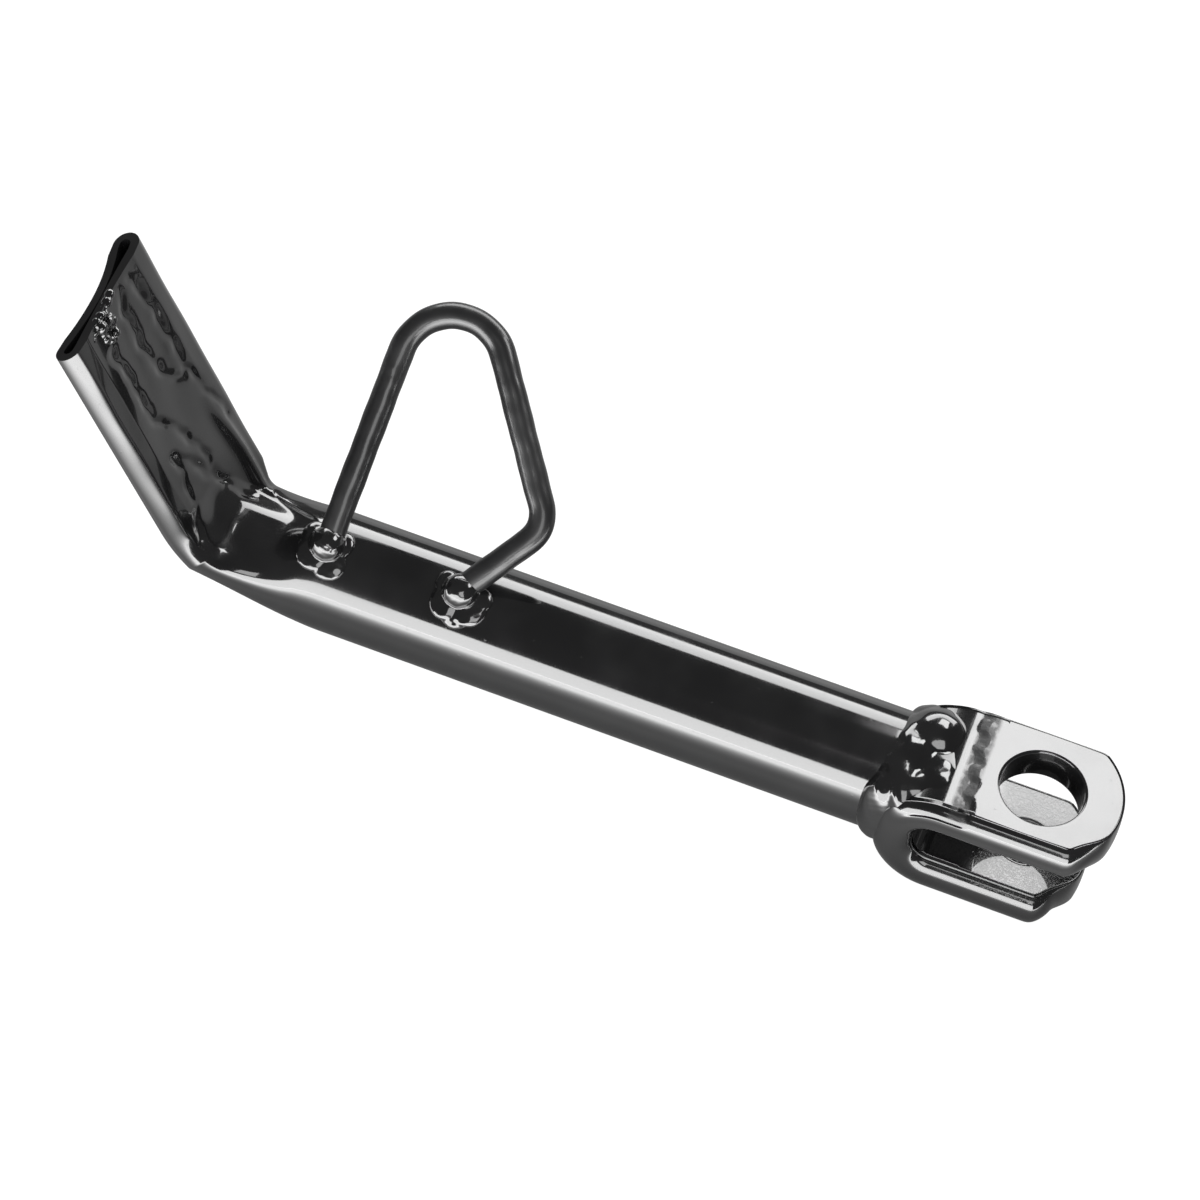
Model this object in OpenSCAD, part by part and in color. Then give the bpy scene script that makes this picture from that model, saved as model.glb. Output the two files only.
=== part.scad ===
// Bolt-on side stand for a small motorcycle: a tube leg with a crushed and bent foot,
// a forked strap end that carries the pivot bolt, and a bent-rod loop to kick it down with.
// Origin: centre of the pivot bore, in the middle of the upper ear's thickness.
// +Z runs along the pivot axis out of that ear, and +X runs from foot to pivot.
// The modules draw with the fork's slot centred on z = 0, and from_slot() moves them to the origin.

/* [Leg tube] */
// Outside diameter of the leg tube
tube_d = 22.2; // [18:0.2:27]
// Wall of the leg tube
tube_wall = 1.6; // [1.2:0.1:2.2]
// Distance from the pivot to the start of the bend
pivot_to_bend = 136; // [100:1:220]
// Angle by which the foot leans out of the leg's line
bend_angle = 63; // [30:1:75]
// Radius of the bend at the tube's centre line
bend_r = 25; // [22:1:45]
// Straight length of the foot past the bend
foot_length = 43.8; // [25:0.2:70]
// Difference between the foot's width and half the girth of the tube it is crushed from
foot_spread = -2.4; // [-3:0.1:2]
// Thickness of the open fold on the far edge of the foot
far_fold_t = 5.4; // [4.8:0.1:7]
// Thickness of the tighter fold on the near edge of the foot
near_fold_t = 4.8; // [4.8:0.1:7]
// Gap left between the two walls where the foot is pinched
pinch_gap = 0.2; // [0.1:0.05:0.6]
// Slant of the cut at the end of the foot, longer at the far edge
end_slant = 4; // [0:0.5:10]
// How far the pinched middle sits towards the inside of the bend
foot_bow = 1; // [0:0.1:1.6]
// Length of straight tube that the crush reaches back into
crush_lead = 5; // [3:0.5:15]
// Length of the bend over which the crush is finished
crush_run = 19; // [10:0.5:24]
// Sideways offset of the leg's centre line from the pivot
leg_side_offset = 0.9; // [-2:0.1:2]
// Offset of the leg's centre line along the pivot axis
leg_lift = 0.5; // [-1:0.1:1]

/* [Fork] */
// Thickness of the fork's strap
strap_t = 7; // [5:0.1:9]
// Width of the fork's strap
strap_w = 23.6; // [21:0.2:28]
// Clear gap between the ears
slot_gap = 10; // [7:0.2:14]
// Depth of the gap behind the pivot
slot_depth = 18.5; // [14:0.5:26]
// Inside radius of the strap's two bends
strap_bend_r = 4; // [2:0.25:4]
// Radius of the ears' rounded ends
ear_r = 14.6; // [13.5:0.1:17]
// Amount by which the threaded ear ends short of the bored one
short_ear = 3; // [0:0.25:4]
// Bore in the upper ear, for the shoulder of the pivot bolt
pivot_bore_d = 15; // [10:0.1:16]
// Core diameter of the threaded hole in the lower ear, 8.5 for an M10 thread
thread_core_d = 8.5; // [6.8:0.1:10.2]
// Chamfer round the mouths of both holes
hole_chamfer = 0.5; // [0.2:0.1:1]

/* [Kick loop] */
// Diameter of the loop's rod
rod_d = 5; // [4:0.2:8]
// Tilt of the loop's plane out of the plane square to the pivot axis
loop_tilt = 40; // [15:1:60]
// Angle round the leg at which the rod's ends stand on it
seat_angle = 105; // [90:1:120]
// Rear end of the rod, ahead of the bend's start
rear_foot_at = 3.4; // [3:0.1:8]
// Front end of the rod, ahead of the bend's start
front_foot_at = 28.3; // [20:0.1:40]
// Top corner of the loop before rounding, ahead of the bend's start
top_corner_at = 5.7; // [3:0.1:15]
// Top corner of the loop before rounding, above the leg's centre line
top_corner_up = 71.3; // [50:0.1:90]
// Side corner of the loop before rounding, ahead of the bend's start
side_corner_at = 39.5; // [34:0.1:55]
// Side corner of the loop before rounding, above the leg's centre line
side_corner_up = 20.6; // [16:0.1:30]
// Bend radius of the rod at the top corner
top_bend_r = 9.6; // [6:0.1:14]
// Bend radius of the rod at the side corner
side_bend_r = 6; // [4:0.1:9]
// Gap between the rod's shaped ends and the leg, filled by the weld on the real part
seat_gap = 0.1; // [0.05:0.05:0.3]

/* [Welds] */
// Height of the fork's bead above the tube
bead_h = 1.1; // [0.6:0.1:3]
// Length of tube that the fork's bead covers
bead_reach = 3; // [1.5:0.1:6]
// Slant of the fork's bead across the tube
bead_slant = 5; // [0:0.5:8]
// Radius of the lumps round the rod's ends
lump_r = 3.4; // [2.5:0.1:5]
// Radius of the tack that pins the two walls together at the end of the foot
tack_r = 2; // [1.2:0.1:3]
// Length of that tack
tack_len = 8; // [4:0.5:14]
// Distance of the tack from the middle of the foot, towards the near edge
tack_side = 2; // [0:0.1:4]
// Slant of the tack across the foot
tack_slant = 40; // [0:1:60]
// Furthest that the rod's shaped ends run past their seats
end_run = 1; // [0.5:0.1:3]

/* [Hidden] */
$fn = 64;
steel_black = "#2b2b2e";
weld_black = "#3a3a3e";

tube_r = tube_d / 2;
slot_half = slot_gap / 2;
ear_face = slot_half + strap_t;
strap_back = slot_depth + strap_t;
crush_start = pivot_to_bend - crush_lead;

// Width of the crushed tube: half the tube's girth, with its two folds
fold_t = (far_fold_t + near_fold_t) / 2;
foot_w = PI * (tube_d - fold_t) / 2 + fold_t + foot_spread;
bend_len = bend_r * bend_angle * PI / 180;
path_len = crush_lead + bend_len + foot_length;
crush_len = crush_lead + crush_run;

RING = 48;
ROD_RING = 32;
CRUSH_STEPS = 24;
FOOT_STEPS = 14;
ROD_STEPS = 10;
CAP_STEPS = 3;

// Step by which the crushed stretch slips inside the wall of the straight tube
SLIP = 0.01;

// ---- the leg's centre line, as a function of the distance past the start of the crush ----

// Turn of the centre line at distance s
function turn(s) = min(max((s - crush_lead) / bend_r * 180 / PI, 0), bend_angle);

// Straight distance covered past the end of the bend
function past(s) = max(s - crush_lead - bend_len, 0);

// Point of the centre line at distance s
function centre(s) = [
    -crush_start - min(s, crush_lead) - bend_r * sin(turn(s)) - past(s) * cos(bend_angle),
    leg_side_offset,
    leg_lift + bend_r * (1 - cos(turn(s))) + past(s) * sin(bend_angle)];

// Direction that the inside of the bend faces
function facing(s) = [sin(turn(s)), 0, cos(turn(s))];

// Share of the crush reached at distance s, with a soft start and end
function crush(s) = let (t = min(max(s / crush_len, 0), 1)) t * t * (3 - 2 * t);

// Share of the spread reached at distance s: it starts later, and ends in a sharp corner
function spread(s) = pow(min(max((s - crush_lead) / crush_run, 0), 1), 2);

// ---- the crushed section: two flat walls pinched together, with a rounded fold at each edge ----

// Half thickness at distance y from the middle, for a section inset by in
function half_t(y, in) = let (
    fold_r = (y > 0 ? far_fold_t : near_fold_t) / 2 - in,
    edge = foot_w / 2 - in - fold_r,
    waist = tube_wall + pinch_gap / 2 - in,
    t = min(abs(y) / (edge - fold_r), 1),
    flat_t = waist + (fold_r - waist) * t * t)
    abs(y) <= edge ? flat_t
                   : fold_r * sqrt(max(1 - pow((abs(y) - edge) / fold_r, 2), 0));

// Radius of the section before it is crushed, for a section inset by in
function round_r(in) = in == 0 ? tube_r - SLIP : (tube_r - in) / cos(180 / RING) + SLIP;

// Point of the section at angle a: a circle that turns into the crushed shape
function wall_point(a, s, in) = let (
    c = crush(s),
    w = spread(s),
    y_flat = (foot_w / 2 - in) * cos(a),
    z_flat = sign(sin(a)) * half_t(y_flat, in) + foot_bow * pow(sin(a), 2),
    y = (1 - w) * round_r(in) * cos(a) + w * y_flat,
    z = (1 - c) * round_r(in) * sin(a) + c * z_flat,
    lag = y * tan(end_slant) * past(s) / foot_length)
    centre(s + lag) + [0, y, 0] + z * facing(s);

steps = concat([-0.5],
               [for (i = [0:CRUSH_STEPS]) crush_len * i / CRUSH_STEPS],
               [for (i = [1:FOOT_STEPS]) crush_len + (path_len - crush_len) * i / FOOT_STEPS]);
rings = len(steps);

function ring(s, in) = [for (k = [0:RING - 1]) wall_point(360 * k / RING, s, in)];

// Two triangles for each cell between ring i and ring j, where a ring has n points
function skirt(i, j, flip, n = RING) = [for (k = [0:n - 1], h = [0, 1])
    let (m = (k + 1) % n,
         a = i * n + k, b = i * n + m,
         c = j * n + m, d = j * n + k,
         tri = h == 0 ? [a, b, c] : [a, c, d])
    flip ? [tri[2], tri[1], tri[0]] : tri];

// Crushed and bent stretch of the tube, hollow as the tube is
module crushed_tube() {
    points = concat([for (s = steps) each ring(s, 0)],
                    [for (s = steps) each ring(s, tube_wall)]);
    faces = concat([for (i = [0:rings - 2]) each skirt(i, i + 1, false)],
                   [for (i = [0:rings - 2]) each skirt(rings + i, rings + i + 1, true)],
                   skirt(0, rings, true),
                   skirt(rings - 1, 2 * rings - 1, false));
    polyhedron(points, faces, convexity = 6);
}

// The same stretch filled, to cut what stands on it
module crushed_solid() {
    points = [for (s = steps) each ring(s, 0)];
    faces = concat([for (i = [0:rings - 2]) each skirt(i, i + 1, false)],
                   [[for (k = [0:RING - 1]) RING - 1 - k]],
                   [[for (k = [0:RING - 1]) (rings - 1) * RING + k]]);
    polyhedron(points, faces, convexity = 4);
}

// Moves its children from the slot's centre to the row's origin
module from_slot() {
    translate([0, 0, -slot_half - strap_t / 2]) children();
}

// Moves its children onto the leg's centre line
module on_leg() {
    translate([0, leg_side_offset, leg_lift]) children();
}

// A round bar along X between two distances behind the pivot
module bar(r, near, far) {
    translate([-far, 0, 0]) rotate([0, 90, 0]) cylinder(r = r, h = far - near);
}

module leg_tube() {
    color(steel_black) from_slot() {
        on_leg() difference() {
            bar(tube_r, strap_back, crush_start);
            bar(tube_r - tube_wall, strap_back - 1, crush_start + 1);
        }
        crushed_tube();
    }
}

// ---- the fork ----

// A rectangle from x0 to x1, half height h, with its two corners at x0 rounded
module rounded_back(x0, x1, h, r) {
    translate([x0 + r, -h]) square([x1 - x0 - r, 2 * h]);
    translate([x0, -h + r]) square([r + 0.01, 2 * (h - r)]);
    translate([x0 + r, h - r]) circle(r = r);
    translate([x0 + r, -h + r]) circle(r = r);
}

// Side view of the strap's outside, with X along the leg and Y for the pivot axis
module strap_outside() {
    rounded_back(-strap_back, ear_r, ear_face, strap_t + strap_bend_r);
}

// Side view of the bent strap
module strap_profile() {
    difference() {
        strap_outside();
        rounded_back(-slot_depth, ear_r + 1, slot_half, strap_bend_r);
    }
}

// Plan of one ear, ending in an arc about the pivot
module ear_plan(short) {
    intersection() {
        translate([-strap_back - 1, -strap_w / 2]) square([strap_back + ear_r + 2, strap_w]);
        union() {
            translate([-short, 0]) circle(r = ear_r);
            translate([-strap_back - 1, -strap_w / 2]) square([strap_back + 1, strap_w]);
        }
    }
}

// A hole with chamfered mouths between two heights
module chamfered_hole(r, low, high) {
    translate([0, 0, low - 1]) cylinder(r = r, h = high - low + 2);
    translate([0, 0, high - hole_chamfer])
        cylinder(r1 = r, r2 = r + 2 * hole_chamfer, h = 2 * hole_chamfer);
    translate([0, 0, low - hole_chamfer])
        cylinder(r1 = r + 2 * hole_chamfer, r2 = r, h = 2 * hole_chamfer);
}

// A side view given the strap's width and its ears' rounded ends
module as_strap() {
    intersection() {
        rotate([90, 0, 0]) linear_extrude(strap_w, center = true) children();
        union() {
            linear_extrude(ear_face + 1) ear_plan(0);
            translate([0, 0, -ear_face - 1]) linear_extrude(ear_face + 1) ear_plan(short_ear);
        }
    }
}

module clevis() {
    color(steel_black) from_slot() difference() {
        as_strap() strap_profile();
        chamfered_hole(pivot_bore_d / 2, slot_half, ear_face);
        chamfered_hole(thread_core_d / 2, -ear_face, -slot_half);
    }
}

// ---- the kick loop, drawn in its own plane and then stood on the leg ----

seat_up = tube_r * cos(seat_angle - loop_tilt);
seat_out = tube_r * sin(seat_angle - loop_tilt);
loop_corners = [[-pivot_to_bend + rear_foot_at, seat_up],
                [-pivot_to_bend + top_corner_at, top_corner_up],
                [-pivot_to_bend + side_corner_at, side_corner_up],
                [-pivot_to_bend + front_foot_at, seat_up]];
loop_radii = [0, top_bend_r, side_bend_r, 0];

function unit(v) = v / norm(v);
function heading(v) = atan2(v[1], v[0]);

// Length that the rounding of corner i takes off each of its legs
function trim(i) = let (
    a = unit(loop_corners[i - 1] - loop_corners[i]),
    b = unit(loop_corners[i + 1] - loop_corners[i]))
    loop_radii[i] / tan(acos(a * b) / 2);

// Stations round the bend at corner i, each with its point and its heading
function bend_stations(i) = let (
    v = loop_corners[i],
    from = heading(v - loop_corners[i - 1]),
    swing = heading(loop_corners[i + 1] - v) - from,
    start = v - unit(v - loop_corners[i - 1]) * trim(i),
    hub = start + loop_radii[i] * [sin(from), -cos(from)])
    [for (k = [0:ROD_STEPS]) let (h = from + swing * k / ROD_STEPS)
        [hub + loop_radii[i] * [-sin(h), cos(h)], h]];

first_heading = heading(loop_corners[1] - loop_corners[0]);
last_heading = heading(loop_corners[3] - loop_corners[2]);
bends = concat(bend_stations(1), bend_stations(2));

// Height above the leg's centre line at which the leg's surface lies under depth z
function seat_height(z) =
    max(sqrt(max(pow(tube_r + seat_gap, 2) - pow(z + seat_out, 2), 0)), seat_up - end_run);

// Point at angle a on a ring of radius r round a station
function rod_point(p, h, a, r) = [p[0] - r * cos(a) * sin(h), p[1] + r * cos(a) * cos(h), r * sin(a)];

// The same point slid along the rod until it meets the leg
function seated_point(p, h, a, r) = let (q = rod_point(p, h, a, r))
    q + (seat_height(q[2]) - q[1]) / sin(h) * [cos(h), sin(h), 0];

function seat_rings(p, h, order) = [for (j = order, k = [0:ROD_RING - 1])
    seated_point(p, h, 360 * k / ROD_RING, rod_d / 2 * j / CAP_STEPS)];

function rod_rings() = [for (b = bends, k = [0:ROD_RING - 1])
    rod_point(b[0], b[1], 360 * k / ROD_RING, rod_d / 2)];

// The whole rod in the loop's plane, with both ends shaped to stand on the leg
module rod() {
    points = concat(
        seat_rings(loop_corners[0], first_heading, [1:CAP_STEPS]),
        rod_rings(),
        seat_rings(loop_corners[3], last_heading, [CAP_STEPS:-1:1]),
        [seated_point(loop_corners[0], first_heading, 0, 0)],
        [seated_point(loop_corners[3], last_heading, 0, 0)]);
    count = len(bends) + 2 * CAP_STEPS;
    tip = count * ROD_RING;
    faces = concat(
        [for (i = [0:count - 2]) each skirt(i, i + 1, false, ROD_RING)],
        [for (k = [0:ROD_RING - 1]) [tip, (k + 1) % ROD_RING, k]],
        [for (k = [0:ROD_RING - 1])
            [tip + 1, tip - ROD_RING + k, tip - ROD_RING + (k + 1) % ROD_RING]]);
    in_loop_plane() polyhedron(points, faces, convexity = 6);
}

// Places a shape drawn in the loop's plane, where Y is the way up the loop
module in_loop_plane() {
    on_leg() rotate([loop_tilt, 0, 0]) translate([0, 0, seat_out]) children();
}

// Straight leg of the rod between corners i and i + 1, run past both of them
module rod_leg(i) {
    p = loop_corners[i];
    q = loop_corners[i + 1];
    in_loop_plane() translate([p[0], p[1], 0]) rotate([0, 0, heading(q - p)])
        translate([-rod_d * 2, 0, 0]) rotate([0, 90, 0]) cylinder(d = rod_d, h = norm(q - p) + rod_d * 4);
}

module leg_envelope() {
    on_leg() bar(tube_r, strap_back - 1, pivot_to_bend + crush_lead);
}

module kick_loop() {
    color(steel_black) from_slot() rod();
}

// ---- welds ----

// Ring bead round the end of the tube, with a fat dome where it fills the strap's bend
module clevis_weld() {
    ring_r = (bead_reach + strap_t / 2) / 2;
    ring_x = strap_back + bead_reach - ring_r;
    // The dome stays within the strap's width
    dome_r = min(strap_t, 0.3 * strap_w);
    // Each lobe of the dome: its share of the strap's width, its distance ahead, its radius
    lobes = [[0.2, 5.5, dome_r], [-0.2, 4, dome_r * 0.86]];
    color(weld_black) from_slot() difference() {
        union() {
            on_leg() translate([-ring_x, 0, 0]) rotate([0, 0, -bead_slant]) rotate([0, 90, 0])
                rotate_extrude() translate([tube_r + bead_h - ring_r, 0]) circle(r = ring_r);
            on_leg() bar(tube_r + bead_h / 2, slot_depth, strap_back + 1);
            for (side = [-1, 1], lobe = lobes)
                translate([lobe[1] - strap_back, lobe[0] * strap_w, side * (ear_face + bead_h - lobe[2])])
                    sphere(r = lobe[2]);
        }
        as_strap() strap_outside();
        on_leg() bar(tube_r, strap_back, crush_start);
        translate([-strap_back - 0.01, 0, 0]) on_leg()
            rotate([0, 90, 0]) cylinder(r = tube_r - tube_wall, h = strap_t);
    }
}

// Three lumps of weld round the end of one leg of the rod, at a place along the leg tube
module loop_weld(leg, along, angle, step, fan) {
    difference() {
        on_leg() translate([along, 0, 0]) for (k = [-1, 0, 1])
            rotate([angle + fan * k, 0, 0])
                translate([step * k, tube_r + 0.15 * lump_r, 0]) sphere(r = lump_r);
        rod_leg(leg);
        leg_envelope();
    }
}

module loop_weld_rear() {
    color(weld_black) from_slot() loop_weld(0, -pivot_to_bend + rear_foot_at, seat_angle - 2, 0.5, 12);
}

module loop_weld_front() {
    color(weld_black) from_slot() loop_weld(2, -pivot_to_bend + front_foot_at + 3.2, seat_angle - 9, -2, 14);
}

// Tack at the end of the foot, on the face inside the bend
module foot_tack_weld() {
    z = tube_wall + pinch_gap / 2 + foot_bow;
    run = tack_len - 2 * tack_r;
    color(weld_black) from_slot() difference() {
        translate(centre(path_len - tack_r)) rotate([0, bend_angle, 0]) translate([0, -tack_side / 2, z])
            rotate([0, 0, -tack_slant]) {
                sphere(r = tack_r);
                rotate([0, 90, 0]) cylinder(r = tack_r, h = run);
                translate([run, 0, 0]) sphere(r = tack_r);
            }
        crushed_solid();
    }
}

leg_tube();
clevis();
kick_loop();
clevis_weld();
loop_weld_rear();
loop_weld_front();
foot_tack_weld();
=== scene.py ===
# %% [markdown]
# # A welded side stand in gloss black paint
#
# The object is a small motorcycle's side stand: a steel tube whose far end is crushed flat
# and bent out for a foot, a thick strap bent into a fork for the pivot bolt, a bent rod to
# kick it down with, and the welds that hold them together. Everything is dipped in black paint.
#
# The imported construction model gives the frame: where each piece is and how big it is. It is
# loaded first, and its box is kept, because the finished pieces must not grow past it.

import math

import bpy
import numpy as np
from mathutils import Matrix, Vector


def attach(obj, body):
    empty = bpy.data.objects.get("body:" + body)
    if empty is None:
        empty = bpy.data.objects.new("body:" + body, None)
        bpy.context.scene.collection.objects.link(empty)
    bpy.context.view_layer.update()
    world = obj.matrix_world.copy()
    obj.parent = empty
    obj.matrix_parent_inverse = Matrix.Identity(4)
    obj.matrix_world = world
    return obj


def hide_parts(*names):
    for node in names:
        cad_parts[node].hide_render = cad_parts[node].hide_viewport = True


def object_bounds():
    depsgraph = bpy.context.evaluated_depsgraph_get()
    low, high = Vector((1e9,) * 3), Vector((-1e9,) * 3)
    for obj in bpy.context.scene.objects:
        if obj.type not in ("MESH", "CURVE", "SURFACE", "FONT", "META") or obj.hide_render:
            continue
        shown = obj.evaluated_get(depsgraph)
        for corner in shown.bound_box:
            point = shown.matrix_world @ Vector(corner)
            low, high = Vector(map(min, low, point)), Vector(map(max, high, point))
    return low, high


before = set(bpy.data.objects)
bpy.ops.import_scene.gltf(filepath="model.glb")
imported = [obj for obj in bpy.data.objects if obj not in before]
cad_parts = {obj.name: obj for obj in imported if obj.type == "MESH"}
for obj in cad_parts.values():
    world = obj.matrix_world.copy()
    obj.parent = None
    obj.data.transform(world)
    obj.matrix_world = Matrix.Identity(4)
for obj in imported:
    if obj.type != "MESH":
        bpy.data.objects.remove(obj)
cad_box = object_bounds()
MM = 0.001
print("construction box in mm:", [[round(v / MM, 1) for v in corner] for corner in cad_box])

# %% [markdown]
# ## Camera, floor and light
#
# A product on a pale table is lit by a few large soft panels. Gloss black paint shows almost
# nothing of its own: what the eye reads as its shape is the reflection of those panels, of the
# pale table and of the dark room above. So the panels' places decide the picture. Here one stands
# low in front, one hangs behind, and a small one above the fork lights its flat ear.
#
# The camera is given as an aim point and an orbit round it: azimuth, elevation, roll and distance.

# %% Camera
AIM = Vector((-84.9, 9.8, -1.5)) * MM
VIEW_AZIMUTH, VIEW_ELEVATION, VIEW_ROLL = 12.59, 53.23, 9.45
VIEW_DISTANCE = 0.6765
LENS_MM = 114.01


def orbit_matrix(azimuth, elevation, roll, distance, aim):
    """Camera matrix: stand at the given distance from aim, turned by azimuth about Z from -Y
    towards +X, raised by elevation, and rolled about the line of sight."""
    turn = Matrix.Rotation(math.radians(azimuth), 4, "Z")
    rise = Matrix.Rotation(math.radians(90 - elevation), 4, "X")
    twist = Matrix.Rotation(math.radians(roll), 4, "Z")
    back = Matrix.Translation((0, 0, distance))
    return Matrix.Translation(aim) @ turn @ rise @ twist @ back


camera_data = bpy.data.cameras.new("camera")
camera_data.lens, camera_data.sensor_width = LENS_MM, 36
camera = bpy.data.objects.new("camera", camera_data)
bpy.context.scene.collection.objects.link(camera)
camera.matrix_world = orbit_matrix(VIEW_AZIMUTH, VIEW_ELEVATION, VIEW_ROLL, VIEW_DISTANCE, AIM)
bpy.context.scene.camera = camera
bpy.context.scene.view_settings.view_transform = "Standard"
print("camera stands at", [round(v, 3) for v in camera.matrix_world.translation])

# %% [markdown]
# Shader nodes are easier to read as sums. A `Value` wraps a node's output socket, so that
# `0.2 + 0.1 * noise` adds the Math nodes itself, and `Shader.add` makes any other node.

# %% Shader maths


class Value:
    """A number that varies over a surface: an output socket with arithmetic."""

    def __init__(self, shader, socket):
        self.shader, self.socket = shader, socket

    def math(self, operation, *others, clamp=False):
        sockets = dict(enumerate((self,) + others))
        return self.shader.add("ShaderNodeMath", sockets, operation=operation, use_clamp=clamp)

    def __add__(self, other):
        return self.math("ADD", other)

    __radd__ = __add__

    def __mul__(self, other):
        return self.math("MULTIPLY", other)

    __rmul__ = __mul__

    def __sub__(self, other):
        return self.math("SUBTRACT", other)

    def __rsub__(self, other):
        return (self * -1.0) + other

    def above(self, low, high):
        """0 below low, 1 above high, and a smooth step between them."""
        return self.shader.add("ShaderNodeMapRange", {0: self, 1: low, 2: high, 3: 0.0, 4: 1.0},
                               interpolation_type="SMOOTHSTEP")

    def largest(self, other):
        return self.math("MAXIMUM", other)


class Shader:
    """A new material and the nodes that are added to it."""

    def __init__(self, name):
        self.material = bpy.data.materials.new(name)
        self.material.use_nodes = True
        self.tree = self.material.node_tree
        self.tree.nodes.clear()
        self.out = self.tree.nodes.new("ShaderNodeOutputMaterial")

    def add(self, kind, sockets=None, output=0, **settings):
        """Makes a node: its settings first, then the values or links of its sockets."""
        node = self.tree.nodes.new(kind)
        for name, value in settings.items():
            setattr(node, name, value)
        for key, value in (sockets or {}).items():
            if isinstance(value, Value):
                self.tree.links.new(value.socket, node.inputs[key])
            else:
                node.inputs[key].default_value = value
        return Value(self, node.outputs[output])

    def noise(self, scale, detail=3.0, rough=0.5, stretch=(1, 1, 1), distortion=0.0):
        """Noise whose lumps are about 1 / scale metres across, drawn out along an axis by stretch."""
        place = self.add("ShaderNodeTexCoord", output="Object")
        place = self.add("ShaderNodeMapping", {"Vector": place, "Scale": tuple(1 / s for s in stretch)})
        return self.add("ShaderNodeTexNoise", {"Vector": place, "Scale": scale, "Detail": detail,
                                               "Roughness": rough, "Distortion": distortion})

    def cells(self, scale, randomness=1.0):
        """Distance to the nearest of many scattered points, in cells about 1 / scale metres across."""
        place = self.add("ShaderNodeTexCoord", output="Object")
        return self.add("ShaderNodeTexVoronoi", {"Vector": place, "Scale": scale,
                                                 "Randomness": randomness})

    def position(self):
        """The three Object coordinates, in metres."""
        place = self.add("ShaderNodeTexCoord", output="Object")
        node = self.tree.nodes.new("ShaderNodeSeparateXYZ")
        self.tree.links.new(place.socket, node.inputs[0])
        return [Value(self, node.outputs[i]) for i in range(3)]

    def blend(self, factor, dark, light):
        """A colour between two colours."""
        node = self.tree.nodes.new("ShaderNodeMix")
        node.data_type = "RGBA"
        self.tree.links.new(factor.socket, node.inputs[0])
        node.inputs[6].default_value, node.inputs[7].default_value = dark, light
        return Value(self, node.outputs[2])

    def finish(self, surface):
        self.tree.links.new(surface.socket, self.out.inputs["Surface"])
        return self.material


# %% [markdown]
# The floor is plain and pale. A light path test makes it a little brighter to the camera than it is
# by its own light, so it reads as clean white but keeps the soft shadow. To reflections only, the table
# also gives off painted light: it glows brightest towards the front panel that stands on it, a little
# behind the stand and least just under it, which gives the paint's highlights one soft side.

# %% Floor and world
FLOOR_ALBEDO = 0.18
FLOOR_GLOW = 0.93
# painted light: these glows are added to the floor only where the paint reflects it, and stand for the front panel's
# light falling on the table
PAINTED_TABLE_GLOW, PAINTED_BACK_GLOW, PAINTED_NEAR_GLOW, PAINTED_PANEL_SPILL = 0.05, 0.20, 0.40, 8.5


def pale_floor():
    s = Shader("pale_floor")
    seen = s.add("ShaderNodeLightPath", output="Is Camera Ray")
    mirrored = s.add("ShaderNodeLightPath", output="Is Glossy Ray")
    through = s.add("ShaderNodeLightPath", output="Is Transmission Ray")
    in_front = s.position()[1] * -1.0
    # painted light, seen only in reflections: the table's glow rises towards the front panel and a little behind the
    # stand
    painted_spill = in_front.above(0.008, 0.030) * PAINTED_NEAR_GLOW + in_front.above(0.030, 0.160) * PAINTED_PANEL_SPILL
    painted_spill = painted_spill + (in_front * -1.0).above(0.030, 0.080) * PAINTED_BACK_GLOW + PAINTED_TABLE_GLOW
    glow = seen.largest(through) * FLOOR_GLOW + mirrored * (1 - seen) * painted_spill
    matt = s.add("ShaderNodeBsdfDiffuse", {"Color": (FLOOR_ALBEDO,) * 3 + (1,)})
    light = s.add("ShaderNodeEmission", {"Color": (1, 1, 1, 1), "Strength": glow})
    return s.finish(s.add("ShaderNodeAddShader", {0: matt, 1: light}))


FLOOR_HALF = 6.0
floor_z = cad_box[0][2]
floor_mesh = bpy.data.meshes.new("floor")
floor_corners = [(x * FLOOR_HALF, y * FLOOR_HALF, floor_z) for x, y in ((-1, -1), (1, -1), (1, 1), (-1, 1))]
floor_mesh.from_pydata(floor_corners, [], [(0, 1, 2, 3)])
floor_mesh.materials.append(pale_floor())
floor = bpy.data.objects.new("floor", floor_mesh)
bpy.context.scene.collection.objects.link(floor)

ROOM_GREY = 0.10
world = bpy.data.worlds.new("room")
world.use_nodes = True
nodes, links = world.node_tree.nodes, world.node_tree.links
paths = nodes.new("ShaderNodeLightPath")
mix = nodes.new("ShaderNodeMix")
mix.data_type = "RGBA"
mix.inputs[6].default_value = (ROOM_GREY, ROOM_GREY, ROOM_GREY, 1)
mix.inputs[7].default_value = (1, 1, 1, 1)
links.new(paths.outputs["Is Camera Ray"], mix.inputs[0])
links.new(mix.outputs[2], nodes["Background"].inputs["Color"])
bpy.context.scene.world = world
print("floor at", round(floor_z / MM, 2), "mm")

# %% [markdown]
# Each panel is an area light given by its centre, the point that it faces, its width, its height
# and its radiance.

# %% Light panels


def panel(name, centre, aim, width, height, radiance):
    """A soft panel of even brightness. A lamp's power is its radiance times its area times pi."""
    lamp = bpy.data.lights.new(name, "AREA")
    lamp.shape, lamp.size, lamp.size_y = "RECTANGLE", width, height
    lamp.energy = radiance * width * height * math.pi
    piece = bpy.data.objects.new(name, lamp)
    bpy.context.scene.collection.objects.link(piece)
    toward = Vector(aim) - Vector(centre)
    piece.matrix_world = Matrix.Translation(centre) @ toward.to_track_quat("-Z", "Y").to_matrix().to_4x4()
    return piece


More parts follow.
